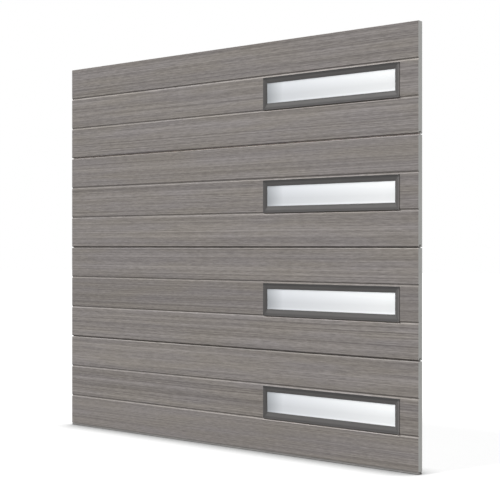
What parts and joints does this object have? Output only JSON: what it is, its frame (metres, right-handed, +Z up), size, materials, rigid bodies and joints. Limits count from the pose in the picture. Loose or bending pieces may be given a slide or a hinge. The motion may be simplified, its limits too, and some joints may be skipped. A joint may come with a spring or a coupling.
{
  "type": "garage door",
  "caption": "Sectional overhead garage door with grooved planks, a slim satin window at the right of each section, and hinges at the back on which the sections fold.",
  "frame": {"origin": "on the floor line under the seal, at the middle of the leaf's width and thickness", "axes": "+X along the leaf to the right as seen from outside, +Y from the front face to the back, +Z up"},
  "size_m": [2.7432, 0.0989, 2.4369],
  "materials": {
    "door_paint": "matt wood-grain paint, warm grey",
    "foam": "rigid foam",
    "back_paint": "satin off-white, stucco embossed",
    "cap_paint": "satin light grey",
    "frame_plastic": "moulded charcoal plastic",
    "inner_frame_plastic": "moulded off-white plastic",
    "satin_glass": "satin etched",
    "spacer_metal": "mill",
    "galvanised": "galvanised",
    "retainer_metal": "anodised dark grey",
    "seal_vinyl": "dark grey flexible vinyl"
  },
  "bodies": {
    "section_1": {"section_1_front_skin": "door_paint", "section_1_core": "foam", "section_1_back_skin": "back_paint", "section_1_end_caps": "cap_paint", "section_1_window_frame": "frame_plastic", "section_1_window_glass": "satin_glass", "section_1_window_spacer": "spacer_metal", "section_1_window_inner_frame": "inner_frame_plastic", "hinge_1_lower_leaves": "galvanised", "bottom_brackets": "galvanised", "bottom_retainer": "retainer_metal", "bottom_seal": "seal_vinyl"},
    "section_2": {"section_2_front_skin": "door_paint", "section_2_core": "foam", "section_2_back_skin": "back_paint", "section_2_end_caps": "cap_paint", "section_2_window_frame": "frame_plastic", "section_2_window_glass": "satin_glass", "section_2_window_spacer": "spacer_metal", "section_2_window_inner_frame": "inner_frame_plastic", "hinge_1_upper_leaves": "galvanised", "hinge_2_lower_leaves": "galvanised"},
    "section_3": {"section_3_front_skin": "door_paint", "section_3_core": "foam", "section_3_back_skin": "back_paint", "section_3_end_caps": "cap_paint", "section_3_window_frame": "frame_plastic", "section_3_window_glass": "satin_glass", "section_3_window_spacer": "spacer_metal", "section_3_window_inner_frame": "inner_frame_plastic", "hinge_2_upper_leaves": "galvanised", "hinge_3_lower_leaves": "galvanised"},
    "section_4": {"section_4_front_skin": "door_paint", "section_4_core": "foam", "section_4_back_skin": "back_paint", "section_4_end_caps": "cap_paint", "section_4_window_frame": "frame_plastic", "section_4_window_glass": "satin_glass", "section_4_window_spacer": "spacer_metal", "section_4_window_inner_frame": "inner_frame_plastic", "hinge_3_upper_leaves": "galvanised", "top_brackets": "galvanised"}
  },
  "joints": [
    {"name": "joint_1_fold", "type": "hinge", "parent": "section_1", "child": "section_2", "pos_m": [0, 0.03225, 0.6096], "axis": [-1, 0, 0], "range_deg": [0, 60]},
    {"name": "joint_2_fold", "type": "hinge", "parent": "section_2", "child": "section_3", "pos_m": [0, 0.03225, 1.2192], "axis": [-1, 0, 0], "range_deg": [0, 60]},
    {"name": "joint_3_fold", "type": "hinge", "parent": "section_3", "child": "section_4", "pos_m": [0, 0.03225, 1.8288], "axis": [-1, 0, 0], "range_deg": [0, 60]}
  ]
}
